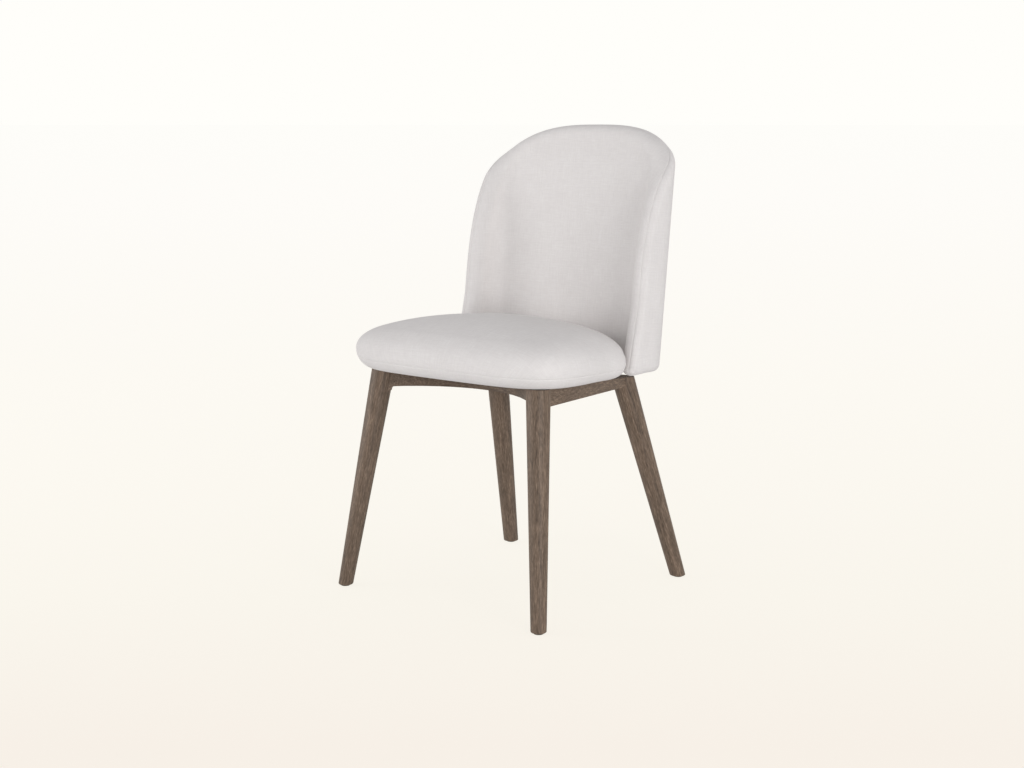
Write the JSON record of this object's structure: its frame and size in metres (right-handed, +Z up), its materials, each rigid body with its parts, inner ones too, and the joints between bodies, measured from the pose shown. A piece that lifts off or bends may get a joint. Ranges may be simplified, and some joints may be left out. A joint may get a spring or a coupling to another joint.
{
  "type": "dining chair",
  "caption": "Upholstered dining chair: crowned seat, arched wrap-round padded back, and splayed tapered wooden legs joined by a slim curved rail frame.",
  "frame": {"origin": "on the floor, in the middle of the chair in plan", "axes": "+Z up; -Y towards the front of the seat, where the sitter faces; +X to the right of someone who stands in front of the chair and looks at it along +Y"},
  "size_m": [0.496, 0.5016, 0.859],
  "materials": {
    "walnut": "matt oiled, grey-brown stain",
    "linen": "pale grey linen-like weave",
    "foam": "open-cell polyurethane foam",
    "plywood": "bare birch plywood",
    "beech": "bare beech",
    "steel": "zinc plated",
    "nylon": "moulded, dark brown",
    "dust_cloth": "black non-woven cloth"
  },
  "bodies": {
    "root": {"seat_board": "plywood", "seat_foam": "foam", "seat_cover_top": "linen", "seat_cover_band": "linen", "dust_cover": "dust_cloth", "seat_bolt_front_left": "steel", "tee_nut_front_left": "steel", "seat_bolt_front_right": "steel", "tee_nut_front_right": "steel", "seat_bolt_rear_left": "steel", "tee_nut_rear_left": "steel", "seat_bolt_rear_right": "steel", "tee_nut_rear_right": "steel", "leg_front_left": "walnut", "glide_front_left": "nylon", "leg_front_right": "walnut", "glide_front_right": "nylon", "leg_rear_left": "walnut", "glide_rear_left": "nylon", "leg_rear_right": "walnut", "glide_rear_right": "nylon", "rail_right": "walnut", "rail_left": "walnut", "rail_rear": "walnut", "rail_front": "walnut", "corner_block_left": "beech", "corner_block_right": "beech", "dowel_left_to_front_left_1": "beech", "dowel_left_to_front_left_2": "beech", "dowel_left_to_rear_left_1": "beech", "dowel_left_to_rear_left_2": "beech", "dowel_front_to_front_left_1": "beech", "dowel_front_to_front_left_2": "beech", "dowel_rear_to_rear_left_1": "beech", "dowel_rear_to_rear_left_2": "beech", "dowel_right_to_front_right_1": "beech", "dowel_right_to_front_right_2": "beech", "dowel_right_to_rear_right_1": "beech", "dowel_right_to_rear_right_2": "beech", "dowel_front_to_front_right_1": "beech", "dowel_front_to_front_right_2": "beech", "dowel_rear_to_rear_right_1": "beech", "dowel_rear_to_rear_right_2": "beech", "back_shell": "plywood", "back_foam": "foam", "back_cover_front": "linen", "back_cover_rear": "linen", "back_bracket_left": "steel", "seat_screw_left_1": "steel", "seat_screw_left_2": "steel", "back_screw_left_1": "steel", "back_screw_left_2": "steel", "back_bracket_right": "steel", "seat_screw_right_1": "steel", "seat_screw_right_2": "steel", "back_screw_right_1": "steel", "back_screw_right_2": "steel"}
  },
  "joints": []
}
